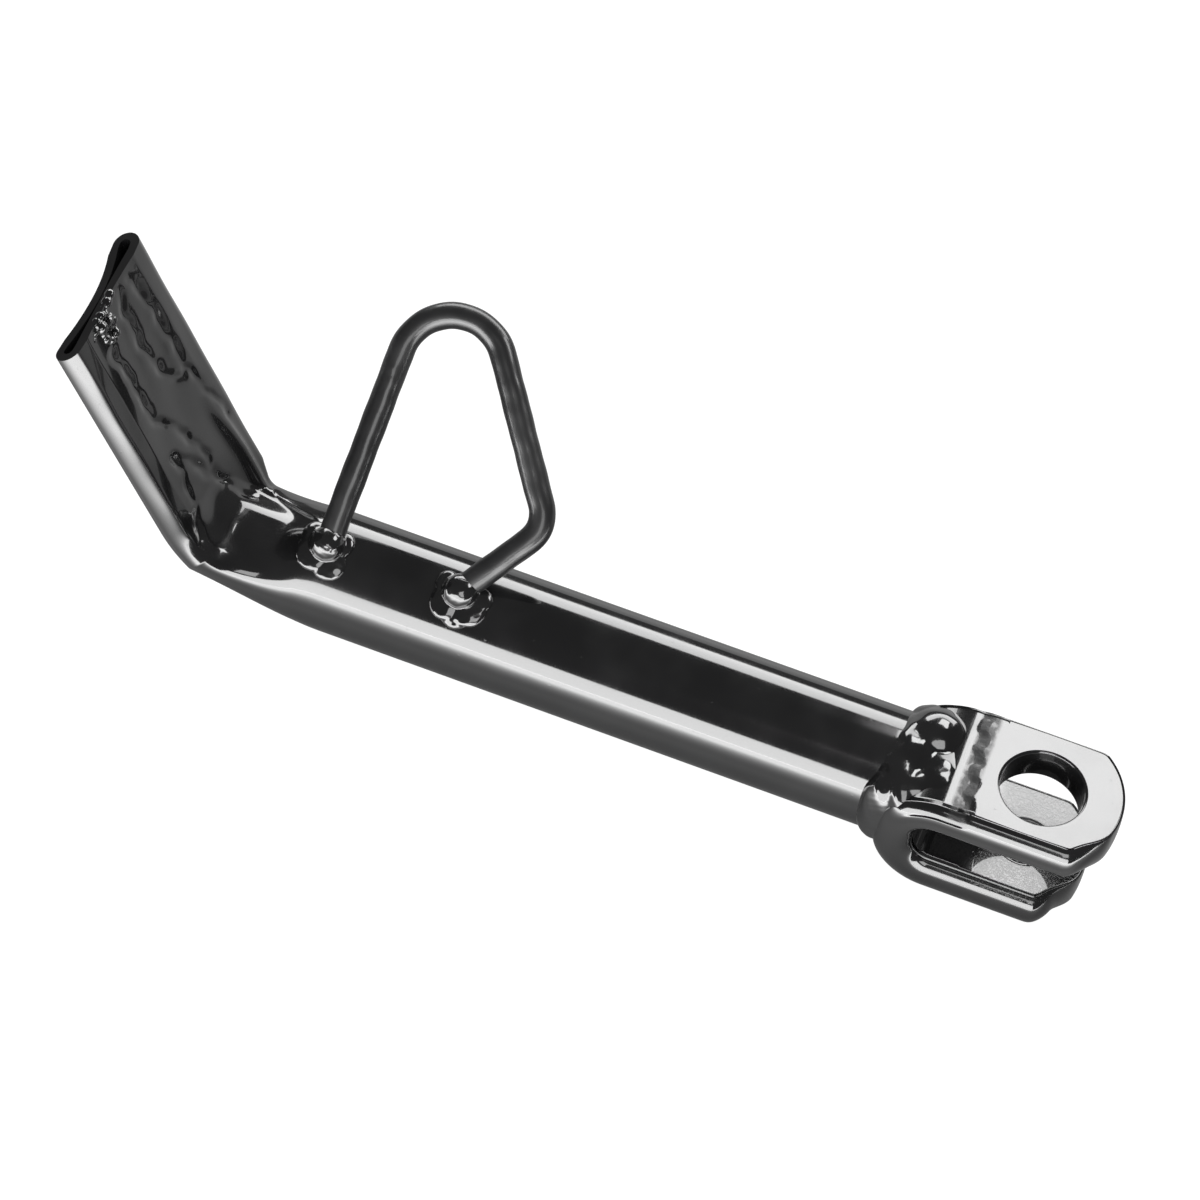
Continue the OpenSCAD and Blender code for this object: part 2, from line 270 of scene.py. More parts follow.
panel("front_panel", (-0.13, -0.55, 0.108), (-0.13, 0, 0.108), 0.95, 0.235, 8.5)
panel("back_panel", (-0.15, 0.612, 0.352), (-0.15, 0, -0.008), 1.1, 0.315, 6.0)
ear_panel = panel("ear_panel", (-0.003, 0.094, 0.131), (-0.003, 0, 0.002), 0.062, 0.050, 9.0)
ear_panel.visible_camera = False
panel("side_panel", (0.150, -0.52, 0.54), (-0.09, 0, 0.02), 0.34, 0.40, 4.0)

# %% [markdown]
# ## The leg: a tube crushed, pinched and bent
#
# On the real stand the end of a round tube goes into a press that flattens it, pinches the middle
# of the flat so that an open fold is left at each edge, and bends it out of line, all at once.
# The surface is a section carried along a path. The section is a circle that turns into a
# flat dumbbell, and the path is a line, an arc and a line, so every point has a formula.

# %% Leg sizes
TUBE_R, TUBE_WALL = 11.1, 1.6
LEG_Y, LEG_Z = 0.9, -8.0
BEND_AT, BEND_ANGLE, BEND_R = 136.0, math.radians(63), 25.0
CRUSH_LEAD, CRUSH_RUN, FOOT_LENGTH = 5.0, 19.0, 43.8
FAR_FOLD, NEAR_FOLD, PINCH_GAP, FOOT_BOW = 5.4, 4.8, 0.2, 1.0
END_SLANT, TIGHT_R = math.radians(4), 5.0
FOLD = (FAR_FOLD + NEAR_FOLD) / 2
FOOT_W = math.pi * (2 * TUBE_R - FOLD) / 2 + FOLD - 2.4
BEND_LEN = BEND_R * BEND_ANGLE
PATH_LEN = CRUSH_LEAD + BEND_LEN + FOOT_LENGTH
print("foot width %.1f mm, crushed path %.1f mm" % (FOOT_W, PATH_LEN))


def smooth(t):
    """A step from 0 to 1 with soft ends."""
    t = np.clip(t, 0, 1)
    return t * t * (3 - 2 * t)


def leg_path(s, radius):
    """Centre line at distance s past the start of the crush, and the way that the inside of the bend
    faces: straight for a negative s, then an arc, then straight again. A smaller radius turns the
    corner between the same two straight lines more sharply."""
    corner = (BEND_R - radius) * math.tan(BEND_ANGLE / 2)
    length = 2 * corner + radius * BEND_ANGLE
    along = np.clip((s - CRUSH_LEAD) / BEND_LEN, 0, 1) * length
    turn = np.clip((along - corner) / radius, 0, BEND_ANGLE)
    past = np.maximum(along - length + corner, 0) + np.maximum(s - CRUSH_LEAD - BEND_LEN, 0)
    before = np.minimum(s, CRUSH_LEAD) + np.minimum(along, corner)
    x = -(BEND_AT - CRUSH_LEAD) - before - radius * np.sin(turn) - past * math.cos(BEND_ANGLE)
    z = LEG_Z + radius * (1 - np.cos(turn)) + past * math.sin(BEND_ANGLE)
    facing = np.stack([np.sin(turn), 0 * turn, np.cos(turn)], -1)
    return np.stack([x, LEG_Y + 0 * x, z], -1), facing


def half_thickness(y, inset):
    """Half the dumbbell's thickness at y: thin at the waist, round at both folds."""
    fold_r = np.where(y > 0, FAR_FOLD, NEAR_FOLD) / 2 - inset
    edge = FOOT_W / 2 - inset - fold_r
    waist = TUBE_WALL + PINCH_GAP / 2 - inset
    t = np.minimum(np.abs(y) / (edge - fold_r), 1)
    flat = waist + (fold_r - waist) * t * t
    cap = fold_r * np.sqrt(np.clip(1 - ((np.abs(y) - edge) / fold_r) ** 2, 0, 1))
    return np.where(np.abs(y) <= edge, flat, cap)


def line_distance(s, y, route):
    """Distance of every point (s, y) from a route of straight pieces: the smallest over the pieces of
    the distance to the nearest point of that piece."""
    nearest = np.full(np.shape(s), 1e3)
    for (s0, y0), (s1, y1) in zip(route[:-1], route[1:]):
        ds, dy = s1 - s0, y1 - y0
        t = np.clip(((s - s0) * ds + (y - y0) * dy) / (ds * ds + dy * dy), 0, 1)
        nearest = np.minimum(nearest, np.hypot(s - s0 - t * ds, y - y0 - t * dy))
    return nearest


# where the press wrinkled the foot's inner face: routes in millimetres along the leg and across it
WRINKLES = [
    [(74.0, 5.6), (71.1, 7.0), (67.4, 7.1), (62.4, 7.4), (57.2, 7.6), (52.6, 7.4), (51.6, 5.8), (52.9, 4.0),
     (55.4, 2.6), (59.3, 1.2), (64.4, 0.9), (70.8, 1.1), (74.0, 2.4)],
    [(68.8, -6.1), (64.9, -5.9), (59.8, -5.6), (55.3, -6.1), (51.7, -5.3), (48.6, -3.1), (44.0, -1.1),
     (39.4, 0.9), (36.2, 0.9), (32.0, 1.4), (27.8, 2.4), (20.9, 5.0)],
    [(43.4, -6.1), (39.0, -6.3), (33.0, -7.8), (27.3, -11.0)],
    [(43.4, -6.1), (38.3, -2.6), (32.2, 0.4), (28.9, 1.4)],
    [(51.5, 7.7), (47.1, 8.5), (41.8, 10.0), (38.0, 10.9)]]
WRINKLE_DEPTH, WRINKLE_WIDTH = 0.30, 0.95
RIDGE = [(46.4, 7.2), (41.0, 7.7), (36.0, 8.4), (30.5, 9.0), (25.0, 9.0), (17.0, 8.8)]
RIDGE_HEIGHT, RIDGE_WIDTH = 0.95, 1.35


def press_marks(s, y):
    """Height of the inner face over a smooth crush: grooves along the wrinkles, which wander and vary
    in depth, one rounded ridge where the tube's far wall runs out, and a shallow unevenness."""
    wander = 0.30 * np.sin(0.8 * s + 0.4 * y) + 0.12 * np.sin(1.7 * s)
    depth = WRINKLE_DEPTH * (1 + 0.35 * np.sin(0.9 * s + 0.5))
    marks = 0
    for route in WRINKLES:
        marks = marks - depth * np.exp(-(line_distance(s, y + wander, route) / WRINKLE_WIDTH) ** 2)
    marks = marks + RIDGE_HEIGHT * smooth((47 - s) / 14) * smooth((s - 8) / 12) * np.exp(
        -(line_distance(s, y, RIDGE) / RIDGE_WIDTH) ** 2)
    return marks - 0.08 + 0.05 * np.sin(0.37 * s + 0.4 * y) + 0.04 * np.sin(0.8 * y - 0.21 * s + 1)


def leg_wall(angle, s, inset):
    """Point of the wall at an angle round the section and a distance along the path. The bend is
    tight on the far side, where the press held the tube, and easy on the near side."""
    t = (s - CRUSH_LEAD) / CRUSH_RUN
    crush = smooth(s / (CRUSH_LEAD + CRUSH_RUN))
    spread = np.clip(t, 0, 1) ** 2
    ca, sa = np.cos(angle), np.sin(angle)
    y_flat = (FOOT_W / 2 - inset) * ca
    z_flat = np.sign(sa) * half_thickness(y_flat, inset) + FOOT_BOW * sa ** 2
    y = (1 - spread) * (TUBE_R - inset) * ca + spread * y_flat
    z = (1 - crush) * (TUBE_R - inset) * sa + crush * z_flat
    if inset == 0:
        z = z + press_marks(s, y) * np.clip(sa * 3, 0, 1) * smooth((s - 6) / 16)
    past = np.maximum(s - CRUSH_LEAD - BEND_LEN, 0)
    lag = y * math.tan(END_SLANT) * past / FOOT_LENGTH
    radius = BEND_R + (TIGHT_R - BEND_R) * smooth((y - 1) / 9)
    point, facing = leg_path(s + lag, radius)
    point = point + z[..., None] * facing
    point[..., 1] += y
    return point


# %% [markdown]
# A helper turns grids of points into one mesh. Every piece below is made of such grids: rows along
# the piece, columns round it.

# %% Grids to meshes


def grid_faces(rows, columns, start=0, wrap=True):
    """Quads between neighbouring rows and columns of a grid whose first point has number start."""
    i = np.arange(rows - 1)[:, None]
    k = np.arange(columns if wrap else columns - 1)[None, :]
    m = (k + 1) % columns
    a, b = i * columns + k, i * columns + m
    return start + np.stack([a, b, b + columns, a + columns], -1).reshape(-1, 4)


def make_piece(name, points, faces, material, node=None, flat_angle=None):
    """A mesh from points in millimetres, riding on the frame, in place of a construction node. The
    signed volume, a sixth of the sum of a . (b x c) over triangles, says if the faces point outwards."""
    mesh = bpy.data.meshes.new(name)
    mesh.from_pydata((points * MM).tolist(), [], faces if isinstance(faces, list) else faces.tolist())
    mesh.validate()
    mesh.calc_loop_triangles()
    corners = np.empty(len(mesh.loop_triangles) * 3, dtype=np.int32)
    mesh.loop_triangles.foreach_get("vertices", corners)
    a, b, c = (points[corners[i::3]] for i in range(3))
    volume = np.sum(a * np.cross(b, c)) / 6
    if volume < 0:
        mesh.flip_normals()
    mesh.materials.append(material)
    mesh.shade_smooth()
    if flat_angle:
        mesh.set_sharp_from_angle(angle=math.radians(flat_angle))
    piece = bpy.data.objects.new(name, mesh)
    bpy.context.scene.collection.objects.link(piece)
    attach(piece, "root")
    if node:
        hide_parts(node)
    low, high = points.min(0), points.max(0)
    print(name, len(corners) // 3, "triangles, %.0f mm3," % abs(volume), low.round(1), "to", high.round(1))
    return piece


# %% [markdown]
# ## Gloss black paint
#
# Thick enamel over steel: nearly black underneath, with a clear gloss on top. It isn't a perfect
# mirror. It has a fine orange peel, long shallow waves along the drawn tube, a few dust specks and
# small pits, and patches a little duller than the rest. These go into roughness and bump; the
# colour hardly changes.

# %% Paint


def black_paint(name, base=0.0055, peel=1.0, waves=1.0, dull=0.0, gloss_coat=1.0, extra=None):
    s = Shader(name)
    cloud = s.noise(90, 2, 0.5)
    fine = s.noise(1500, 3, 0.6)
    peel_map = s.noise(420, 2, 0.5)
    wave_map = s.noise(70, 2, 0.45, stretch=(5, 1, 1))
    speck = s.cells(330).above(0.10, 0.05)
    colour = s.blend(cloud.above(0.35, 0.7), (base, base, base * 1.05, 1), (base * 1.7, base * 1.7, base * 1.75, 1))
    rough = 0.10 + dull + 0.07 * cloud.above(0.45, 0.75) + 0.05 * fine
    height = 0.010 * peel * peel_map + 0.10 * waves * wave_map + 0.0012 * fine + 0.012 * speck
    gloss = {"Base Color": colour, "Roughness": rough, "Coat Weight": gloss_coat, "Coat Roughness": 0.03,
             "IOR": 1.5}
    if extra:
        height = extra(s, gloss, height)
    bump = s.add("ShaderNodeBump", {"Height": height, "Strength": 1.0, "Distance": 0.001})
    gloss["Normal"] = bump
    return s.finish(s.add("ShaderNodeBsdfPrincipled", gloss))


def fork_details(s, gloss, height):
    """The fork's own marks: a dull band where the upper ear starts to bend, dry overspray on the
    inside of the lower ear, and the mill's dimples on the faces."""
    x, y, z = s.position()
    upper = z.above(0.0020, 0.0030)
    band = upper * x.above(-0.0142, -0.0132) * (1 - x.above(-0.0112, -0.0100))
    inside = z.above(-0.0142, -0.0138) * (1 - z.above(-0.0133, -0.0129)) * x.above(-0.0080, -0.0050)
    grain = s.noise(1700, 2, 0.6).above(0.40, 0.60)
    gloss["Roughness"] = gloss["Roughness"] + 0.28 * band + 0.10 * inside
    gloss["Coat Weight"] = 1.0 - 0.85 * band * s.noise(600, 2, 0.5).above(0.30, 0.55)
    scratch = s.noise(900, 1, 0.4, stretch=(0.25, 6, 1)).above(0.64, 0.70)
    return height + 0.030 * inside * grain + 0.010 * band * grain + 0.0015 * upper * scratch


tube_paint = black_paint("tube_paint", waves=1.3)
strap_paint = black_paint("strap_paint", peel=1.2, waves=0.3, extra=fork_details)
rod_paint = black_paint("rod_paint", base=0.010, waves=0.2, dull=0.20, gloss_coat=0.30)
weld_paint = black_paint("weld_paint", base=0.005, waves=0.0)

# %% Leg mesh
STRAIGHT_STEPS, CRUSH_STEPS, FOOT_STEPS, RING = 60, 140, 116, 220
FORK_BACK = 25.5


def leg_rows():
    """Distances along the leg: wide apart on the straight tube, close together in the crush."""
    crush_end = CRUSH_LEAD + CRUSH_RUN + 12
    straight = np.linspace(-(BEND_AT - CRUSH_LEAD - FORK_BACK), 0, STRAIGHT_STEPS, endpoint=False)
    crush = np.linspace(0, crush_end, CRUSH_STEPS, endpoint=False)
    return np.concatenate([straight, crush, np.linspace(crush_end, PATH_LEN, FOOT_STEPS)])


def leg_surface():
    """The outer wall, a coarser inner wall, and the two rims that join them."""
    rows = leg_rows()
    inner_rows = np.append(rows[:-1:4], rows[-1])
    angle = np.linspace(0, 2 * math.pi, RING, endpoint=False)
    outer = leg_wall(*np.meshgrid(angle, rows), 0.0)
    inner = leg_wall(*np.meshgrid(angle, inner_rows), TUBE_WALL)
    count = len(rows) * RING
    points = np.concatenate([outer.reshape(-1, 3), inner.reshape(-1, 3)])
    faces = [grid_faces(len(rows), RING), grid_faces(len(inner_rows), RING, count)[:, ::-1]]
    k = np.arange(RING)
    m = (k + 1) % RING
    faces.append(np.stack([count + k, count + m, m, k], -1))
    last, inner_last = count - RING, len(points) - RING
    faces.append(np.stack([last + k, last + m, inner_last + m, inner_last + k], -1))
    return points, np.concatenate(faces)


leg_points, leg_faces = leg_surface()
make_piece("leg", leg_points, leg_faces, tube_paint, "leg_tube", flat_angle=50)

# %% [markdown]
# ## The fork: a flat strap with two holes, bent round
#
# The real fork is cut flat, drilled, and bent into a U. The mesh is made the same way. The blank is
# a sheet of grids, a ring of quads round each hole and a plain strip between them, given a
# thickness with rounded edges, and then every point is carried round the bend.

# %% Fork sizes
STRAP_T, STRAP_W, SLOT_DEPTH, INNER_BEND = 7.0, 23.6, 18.5, 4.0
EAR_R, SHORT_EAR, BORE_R, CORE_R, SLOT_GAP = 14.6, 3.0, 7.5, 4.25, 10.0
EDGE_R, EDGE_TURN, CROWN_R, RIM_R = 1.1, math.radians(50), 4.8, 0.5
CROWN_OUT = 1.0
EDGE_REACH = EDGE_R * math.sin(EDGE_TURN) + CROWN_R * (1 - math.sin(EDGE_TURN))
MID_R = INNER_BEND + STRAP_T / 2
BACK_HALF = SLOT_GAP / 2 + STRAP_T / 2 - MID_R
BEND_END = BACK_HALF + MID_R * math.pi / 2
BEND_X = -(SLOT_DEPTH + STRAP_T / 2) + MID_R
PIVOT_S = BEND_END - BEND_X
EAR_BACK = 9.5
STEP_AT, STEP_RUN, STEP_DROP = 10.6, 2.6, 0.34


def strap_bend(s, y, n):
    """Carries a point of the flat blank round the U: s runs along the strap from the middle of its
    back, up to the bored ear and down to the threaded one, and n out of its outer face."""
    side = np.where(s < 0, -1.0, 1.0)
    a = np.abs(s)
    y = y - CROWN_OUT * smooth((-y - 7.7) / 4.1)
    ragged = 0.5 * np.sin(1.3 * y + 0.4) + 0.3 * np.sin(3.1 * y) - 0.12 * y
    step = smooth((PIVOT_S - STEP_AT - s + ragged) / STEP_RUN) * (s > 0) * (n > STRAP_T / 4)
    n = n - STEP_DROP * step * (1 - smooth((BEND_END - 3 - s) / 4))
    turn = np.clip((a - BACK_HALF) / MID_R, 0, math.pi / 2)
    along = np.maximum(a - BEND_END, 0)
    x = BEND_X - (MID_R + n) * np.cos(turn) + along
    z = side * (np.minimum(a, BACK_HALF) + (MID_R + n) * np.sin(turn))
    return np.stack([x, y, z - SLOT_GAP / 2 - STRAP_T / 2], -1)


def crown(across):
    """How much of the full crown an edge has: 1 on the near side of the strap, where the shears
    rolled it over, little on the far side, and in between at the ends. Across is +1 on the far side."""
    return 0.12 + 0.88 * smooth((-0.35 - across) / 0.6)


def ear_outline(angle, shift):
    """Distance from the hole's centre to the flat of the ear in each direction: the nearer of the
    end's arc and the strap's straight side, less the crowned edge, with a small round between them."""
    c, s = np.cos(angle), np.sin(angle)
    inset = EDGE_REACH * crown(np.where(c > 0, np.clip(EAR_R * s / (STRAP_W / 2), -1, 1), np.sign(s)))
    r = EAR_R - inset
    arc = -shift * c + np.sqrt(np.maximum(r * r - (shift * s) ** 2, 0))
    arc = np.where(c > 0, arc, 10 * r)
    side = (STRAP_W / 2 - inset) / np.maximum(np.abs(s), 1e-6)
    sharp = 80.0
    return (arc ** -sharp + side ** -sharp) ** (-1 / sharp)


# %% Fork mesh
EAR_COLUMNS, JOIN_COLUMNS, EAR_RINGS, STRIP_ROWS, ROUND_STEPS = 210, 30, 14, 110, 6


def ear_patch(side, hole_r, shift):
    """Rings of points round a hole, from its rim to the ear's inset outline. The columns that face
    the bend end on a straight line across the strap, where the strip takes over."""
    near_half, far_half = STRAP_W / 2 - EDGE_REACH * crown(np.array([-1.0, 1.0]))
    around = np.linspace(-math.atan2(near_half, -EAR_BACK), math.atan2(far_half, -EAR_BACK), EAR_COLUMNS + 1)
    edge = np.stack([np.cos(around), np.sin(around)], -1) * ear_outline(around, shift)[:, None]
    edge[0], edge[-1] = (-EAR_BACK, -near_half), (-EAR_BACK, far_half)
    across = np.linspace(far_half, -near_half, JOIN_COLUMNS + 1)[1:-1]
    join = np.stack([np.full_like(across, -EAR_BACK), across], -1)
    outline = np.concatenate([edge, join])
    direction = outline / np.linalg.norm(outline, axis=1, keepdims=True)
    rim = direction * (hole_r + RIM_R)
    t = np.linspace(0, 1, EAR_RINGS)[:, None, None]
    flat = rim + (outline - rim) * t
    s = side * (PIVOT_S + flat[..., 0])
    return s, flat[..., 1] * 1.0


def rim_profile():
    """How far out and how far down the rim of a hole is, step by step: a small quarter round."""
    b = np.linspace(0, math.pi / 2, ROUND_STEPS + 1)[1:]
    return RIM_R * np.sin(b), RIM_R * (1 - np.cos(b))


def side_profile():
    """The same for the strap's own edge, which the shears and the paint leave crowned: a small round
    at the corner, then one large arc down to the middle of the thickness."""
    b = np.linspace(0, EDGE_TURN, ROUND_STEPS + 1)[1:]
    w = np.linspace(EDGE_TURN, math.pi / 2, 2 * ROUND_STEPS + 1)[1:]
    out = EDGE_R * math.sin(EDGE_TURN) + CROWN_R * (np.sin(w) - math.sin(EDGE_TURN))
    down = EDGE_R * (1 - math.cos(EDGE_TURN)) + CROWN_R * (math.cos(EDGE_TURN) - np.cos(w))
    down = np.concatenate([EDGE_R * (1 - np.cos(b)), down])
    return np.concatenate([EDGE_R * np.sin(b), out]), np.minimum(down, STRAP_T / 2 - 0.004)


def blank_points():
    """The two ears' sheets of points, as flat (s, y) points."""
    up_s, up_y = ear_patch(1, BORE_R, 0.0)
    low_s, low_y = ear_patch(-1, CORE_R, SHORT_EAR)
    return up_s, up_y, low_s, low_y


def fork_surface():
    """The blank's sheet of quads, the loop round its whole edge and the loop round each hole, as flat (s, y) points and
    point numbers.
    """
    up_s, up_y, low_s, low_y = blank_points()
    columns = up_s.shape[1]
    join = list(range(EAR_COLUMNS, columns)) + [0]
    join_y = up_y[-1][join]
    strip_s = np.linspace(PIVOT_S - EAR_BACK, -(PIVOT_S - EAR_BACK), STRIP_ROWS + 1)[1:-1]
    grid_s, grid_y = np.meshgrid(strip_s, join_y, indexing="ij")
    flat_s = np.concatenate([up_s.ravel(), low_s.ravel(), grid_s.ravel()])
    flat_y = np.concatenate([up_y.ravel(), low_y.ravel(), grid_y.ravel()])
    low0, strip0 = up_s.size, up_s.size + low_s.size
    up_edge = (EAR_RINGS - 1) * columns
    rows = [up_edge + np.array(join)]
    for i in range(len(strip_s)):
        rows.append(strip0 + i * len(join) + np.arange(len(join)))
    rows.append(low0 + up_edge + np.array(join))
    rows = np.array(rows)
    strip = np.stack([rows[:-1, :-1], rows[:-1, 1:], rows[1:, 1:], rows[1:, :-1]], -1).reshape(-1, 4)
    sheet = np.concatenate([grid_faces(EAR_RINGS, columns)[:, ::-1],
                            grid_faces(EAR_RINGS, columns, low0), strip[:, ::-1]])
    # the loop round the whole blank: the bored ear's edge, one side, the other ear's edge, the other side
    loop = np.concatenate([up_edge + np.arange(EAR_COLUMNS + 1), rows[1:-1, 0],
                           low0 + up_edge + np.arange(EAR_COLUMNS, -1, -1), rows[1:-1, -1][::-1]])
    holes = [np.arange(columns), low0 + np.arange(columns)]
    return flat_s, flat_y, sheet, loop, holes


def loop_normals(s, y):
    """Outward direction of a closed loop of flat points, from the chord between its neighbours."""
    ds, dy = np.roll(s, -1) - np.roll(s, 1), np.roll(y, -1) - np.roll(y, 1)
    size = np.hypot(ds, dy)
    area = np.sum(s * np.roll(y, -1) - np.roll(s, -1) * y)
    sign = 1 if area > 0 else -1
    return sign * dy / size, -sign * ds / size


def edge_wrap(s, y, out_s, out_y, profile, share, top, bottom, start):
    """The side of the blank along a loop: the profile from the upper face, and its mirror image."""
    far, down = profile
    half = STRAP_T / 2
    n = np.concatenate([half - down, -(half - down[::-1])])
    reach = np.concatenate([far, far[::-1]])
    reach = reach[:, None] * share
    ring_s = s[None, :] + reach * out_s
    ring_y = y[None, :] + reach * out_y
    ring_n = np.repeat(n[:, None], len(s), 1)
    ids = start + np.arange(ring_s.size).reshape(ring_s.shape)
    # the last ring lies on the lower face's boundary, so that face's own points close the side
    ids = np.concatenate([top[None, :], ids[:-1], bottom[None, :]])
    a, b = ids[:-1], ids[1:]
    quads = np.stack([a, np.roll(a, -1, 1), np.roll(b, -1, 1), b], -1).reshape(-1, 4)
    return ring_s.ravel(), ring_y.ravel(), ring_n.ravel(), quads


flat_s, flat_y, sheet, loop, holes = fork_surface()
count = len(flat_s)
half_t = STRAP_T / 2
all_s, all_y = [flat_s, flat_s], [flat_y, flat_y]
all_n = [np.full(count, half_t), np.full(count, -half_t)]
fork_faces = [sheet, sheet[:, ::-1] + count]
start = 2 * count
for ids, profile, inward in [(loop, side_profile(), False)] + [(h, rim_profile(), True) for h in holes]:
    out_s, out_y = loop_normals(flat_s[ids], flat_y[ids])
    if inward:
        out_s, out_y = -out_s, -out_y
    share = 1.0 if inward else crown(np.clip(flat_y[ids] / (STRAP_W / 2 - EDGE_REACH), -1, 1))
    s, y, n, quads = edge_wrap(flat_s[ids], flat_y[ids], out_s, out_y, profile, share, ids, ids + count, start)
    all_s.append(s)
    all_y.append(y)
    all_n.append(n)
    fork_faces.append(quads)
    start += len(s)
fork_points = strap_bend(np.concatenate(all_s), np.concatenate(all_y), np.concatenate(all_n))
fork_faces = np.concatenate(fork_faces)
make_piece("fork", fork_points, fork_faces, strap_paint, "clevis")

# %% [markdown]
# ## The kick loop: a rod bent cold
#
# A 5 mm rod is bent twice and stood on the leg on its two ends. It is a circle carried along a path
# of straights and arcs, drawn in the loop's own plane, which leans out from the leg. Both ends run
# a little way into the tube's wall, where the weld hides them. A real rod isn't perfectly round
# either: its radius wavers a little along it, and a burr is left halfway up.

# %% Loop sizes
ROD_R, LOOP_TILT, SEAT_ANGLE = 2.5, math.radians(40), math.radians(105)
SEAT_UP = TUBE_R * math.cos(SEAT_ANGLE - LOOP_TILT)
SEAT_OUT = TUBE_R * math.sin(SEAT_ANGLE - LOOP_TILT)
REAR_FOOT, FRONT_FOOT = 3.4, 28.3
CORNERS = np.array([[-BEND_AT + REAR_FOOT, SEAT_UP], [-BEND_AT + 5.7, 71.3],
                    [-BEND_AT + 39.5, 20.6], [-BEND_AT + FRONT_FOOT, SEAT_UP]])
CORNER_RADII = (9.6, 6.0)
ROD_RING, STRAIGHT_ROWS, BEND_ROWS, SINK = 64, 60, 40, 0.9


def loop_path():
    """Points and headings of the rod's middle line: straight, arc, straight, arc, straight."""
    points, headings = [], []
    entry = CORNERS[0]
    for i, radius in zip((1, 2), CORNER_RADII):
        into = CORNERS[i] - CORNERS[i - 1]
        out = CORNERS[i + 1] - CORNERS[i]
        h0, h1 = np.arctan2(into[1], into[0]), np.arctan2(out[1], out[0])
        swing = (h1 - h0 + math.pi) % (2 * math.pi) - math.pi
        trim = radius * math.tan(abs(swing) / 2)
        begin = CORNERS[i] - into / np.linalg.norm(into) * trim
        t = np.linspace(0, 1, STRAIGHT_ROWS, endpoint=False)[i - 1:, None]
        points.append(entry + (begin - entry) * t)
        headings.append(np.full(len(t), h0))
        h = h0 + swing * np.linspace(0, 1, BEND_ROWS)
        turn = math.copysign(1, swing)
        hub = begin + turn * radius * np.array([-math.sin(h0), math.cos(h0)])
        points.append(hub + turn * radius * np.stack([np.sin(h), -np.cos(h)], -1))
        headings.append(h)
        entry = points[-1][-1]
    t = np.linspace(0, 1, STRAIGHT_ROWS // 2)[1:, None]
    points.append(entry + (CORNERS[3] - entry) * t)
    headings.append(np.full(len(t), h1))
    return np.concatenate(points), np.concatenate(headings)


def from_loop_plane(u, v, w):
    """Stands a point of the loop's plane on the leg: u along it, v up the loop, w out of its plane."""
    w = w + SEAT_OUT
    c, s = math.cos(LOOP_TILT), math.sin(LOOP_TILT)
    return np.stack([u, v * c - w * s + LEG_Y, v * s + w * c + LEG_Z], -1)


def rod_surface():
    """A circle carried along the path, with a burr halfway up its long leg and closed ends."""
    path, heading = loop_path()
    run = np.array([np.cos(heading), np.sin(heading)]).T
    path[0] -= run[0] * SINK
    path[-1] += run[-1] * SINK
    along = np.concatenate([[0], np.cumsum(np.linalg.norm(np.diff(path, axis=0), axis=1))])
    angle = np.linspace(0, 2 * math.pi, ROD_RING, endpoint=False)
    a, h = np.meshgrid(angle, heading)
    bump = 0.16 * np.exp(-((along[:, None] - 32) / 0.9) ** 2 - ((a - 1.9) / 0.5) ** 2)
    bump += 0.10 * np.exp(-((along[:, None] - 34.2) / 0.6) ** 2 - ((a - 1.5) / 0.4) ** 2)
    wobble = 0.03 * np.sin(along[:, None] * 0.55 + 2 * a) + 0.02 * np.sin(along[:, None] * 1.3 + a)
    r = ROD_R - 0.12 + bump + wobble
    u = path[:, :1] - r * np.cos(a) * np.sin(h)
    v = path[:, 1:] + r * np.cos(a) * np.cos(h)
    points = from_loop_plane(u, v, r * np.sin(a)).reshape(-1, 3)
    ends = from_loop_plane(path[[0, -1], 0], path[[0, -1], 1], np.zeros(2))
    rows, tip = len(path), len(points)
    k = np.arange(ROD_RING)
    m = (k + 1) % ROD_RING
    last = (rows - 1) * ROD_RING
    quads = grid_faces(rows, ROD_RING).tolist()
    caps = np.stack([np.full(ROD_RING, tip), m, k], -1).tolist()
    caps += np.stack([np.full(ROD_RING, tip + 1), last + k, last + m], -1).tolist()
    return np.concatenate([points, ends]), quads + caps


rod_points, rod_faces = rod_surface()
make_piece("rod_loop", rod_points, rod_faces, rod_paint, "kick_loop")

# %% [markdown]
# ## Weld beads
#
# A hand weld is a row of overlapping puddles. Under thick paint they run together into soft, lumpy
# mounds with a few sharp creases, which catch small bright glints. Each bead here is a set of
# puddles, small ellipsoids set on the tube for the loop's feet, and a barrel round the joint with
# larger ones for the fork. They are melted into one skin, and a few waves roughen it.

# %% Weld helpers


def ripples(u, v, size, seed):
    """Smooth uneven lumps about size across, from six waves in directions that the seed picks."""
    rng = np.random.default_rng(seed)
    total = 0
    for k in range(6):
        way, phase = rng.uniform(0, math.pi), rng.uniform(0, 2 * math.pi)
        rate = 2 * math.pi / size * rng.uniform(0.6, 1.5)
        total = total + np.sin(rate * (u * math.cos(way) + v * math.sin(way)) + phase)
    return total / 6


def on_tube(x, arc, height):
    """A point over the leg tube: x along it, arc millimetres round it from straight up towards
    the near side, and height above its wall."""
    a = arc / TUBE_R
    r = TUBE_R + height
    return np.stack([x, LEG_Y - r * np.sin(a), LEG_Z + r * np.cos(a)], -1)


# %% Melting puddles together


